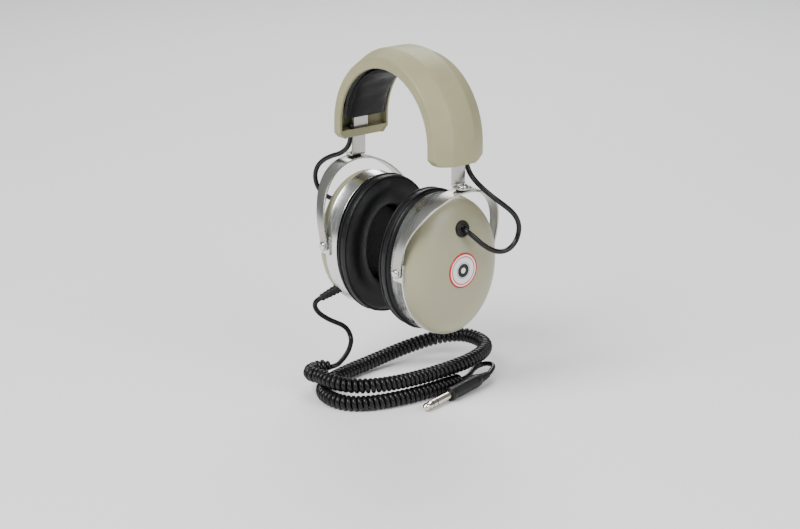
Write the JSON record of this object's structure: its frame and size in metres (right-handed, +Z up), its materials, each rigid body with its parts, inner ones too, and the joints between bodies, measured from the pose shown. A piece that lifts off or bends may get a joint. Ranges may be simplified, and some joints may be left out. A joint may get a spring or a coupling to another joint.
{
  "type": "over ear headphones",
  "caption": "Over-ear headphones with a padded vinyl headband, sliding steel yokes, oval cups and a curly cord that ends in a plug.",
  "frame": {"origin": "middle of the crown pad's underside, where a head or a stand carries the headphones", "axes": "+Z up, +X towards the right cup along the ear axis, +Y the way the wearer looks"},
  "size_m": [0.1816, 0.1674, 0.276],
  "materials": {
    "vinyl": "satin",
    "pad": "satin",
    "felt": "matt",
    "steel": "satin",
    "bright_steel": "polished",
    "shell": "satin",
    "black_plastic": "satin",
    "magnet": "satin",
    "film": "gloss",
    "cushion": "satin",
    "foam": "matt",
    "rubber": "matt",
    "badge": "satin",
    "cable": "satin",
    "nickel": "polished"
  },
  "bodies": {
    "headband": {"headband_cover": "vinyl", "headband_pad": "pad", "headband_felt": "felt", "spring_band": "steel", "crossover_cable": "cable", "right_slide_bracket": "steel", "left_slide_bracket": "steel", "coiled_cord": "cable", "cord_tail": "cable", "cord_drop_lower": "cable", "plug_tip": "nickel", "plug_tip_insulator": "black_plastic", "plug_ring": "nickel", "plug_ring_insulator": "black_plastic", "plug_sleeve": "nickel", "plug_handle": "black_plastic", "plug_relief": "black_plastic"},
    "right_slide": {"right_slider": "steel", "right_stop_stud": "steel", "right_swivel_rivet": "steel", "right_swivel_washer": "steel", "right_lead_upper": "cable"},
    "right_fork": {"right_yoke": "steel"},
    "right_cup": {"right_shell": "shell", "right_rim_band": "bright_steel", "right_baffle": "black_plastic", "right_driver_basket": "steel", "right_driver_magnet": "magnet", "right_diaphragm": "film", "right_cushion": "cushion", "right_dust_foam": "foam", "right_baffle_screws": "steel", "right_grommet": "rubber", "right_badge": "badge", "right_pivot_brackets": "bright_steel", "right_pivot_screws": "bright_steel", "right_lead_lower": "cable"},
    "left_slide": {"left_slider": "steel", "left_stop_stud": "steel", "left_swivel_rivet": "steel", "left_swivel_washer": "steel", "left_lead_upper": "cable"},
    "left_fork": {"left_yoke": "steel", "cord_drop_middle": "cable"},
    "left_cup": {"left_shell": "shell", "left_rim_band": "bright_steel", "left_baffle": "black_plastic", "left_driver_basket": "steel", "left_driver_magnet": "magnet", "left_diaphragm": "film", "left_cushion": "cushion", "left_dust_foam": "foam", "left_baffle_screws": "steel", "left_grommet": "rubber", "left_badge": "badge", "left_pivot_brackets": "bright_steel", "left_pivot_screws": "bright_steel", "left_lead_lower": "cable", "strain_relief": "rubber", "cord_drop_upper": "cable"}
  },
  "joints": [
    {"name": "right_extension", "type": "slide", "parent": "headband", "child": "right_slide", "axis": [0, 0, -1], "range_m": [-0.006, 0.014]},
    {"name": "right_swivel", "type": "hinge", "parent": "right_slide", "child": "right_fork", "pos_m": [0.065, 0, -0.08], "axis": [0, 0, 1], "range_deg": [-15, 15], "deforming": ["right_lead_upper"]},
    {"name": "right_tilt", "type": "hinge", "parent": "right_fork", "child": "right_cup", "pos_m": [0.045, 0, -0.14], "axis": [0, 1, 0], "range_deg": [-12, 12], "deforming": ["right_lead_lower"]},
    {"name": "left_extension", "type": "slide", "parent": "headband", "child": "left_slide", "axis": [0, 0, -1], "range_m": [-0.006, 0.014], "deforming": ["cord_drop_lower"]},
    {"name": "left_swivel", "type": "hinge", "parent": "left_slide", "child": "left_fork", "pos_m": [-0.065, 0, -0.08], "axis": [0, 0, 1], "range_deg": [-15, 15], "deforming": ["left_lead_upper", "cord_drop_middle"]},
    {"name": "left_tilt", "type": "hinge", "parent": "left_fork", "child": "left_cup", "pos_m": [-0.045, 0, -0.14], "axis": [0, 1, 0], "range_deg": [-12, 12], "deforming": ["left_lead_lower", "cord_drop_upper"]}
  ]
}
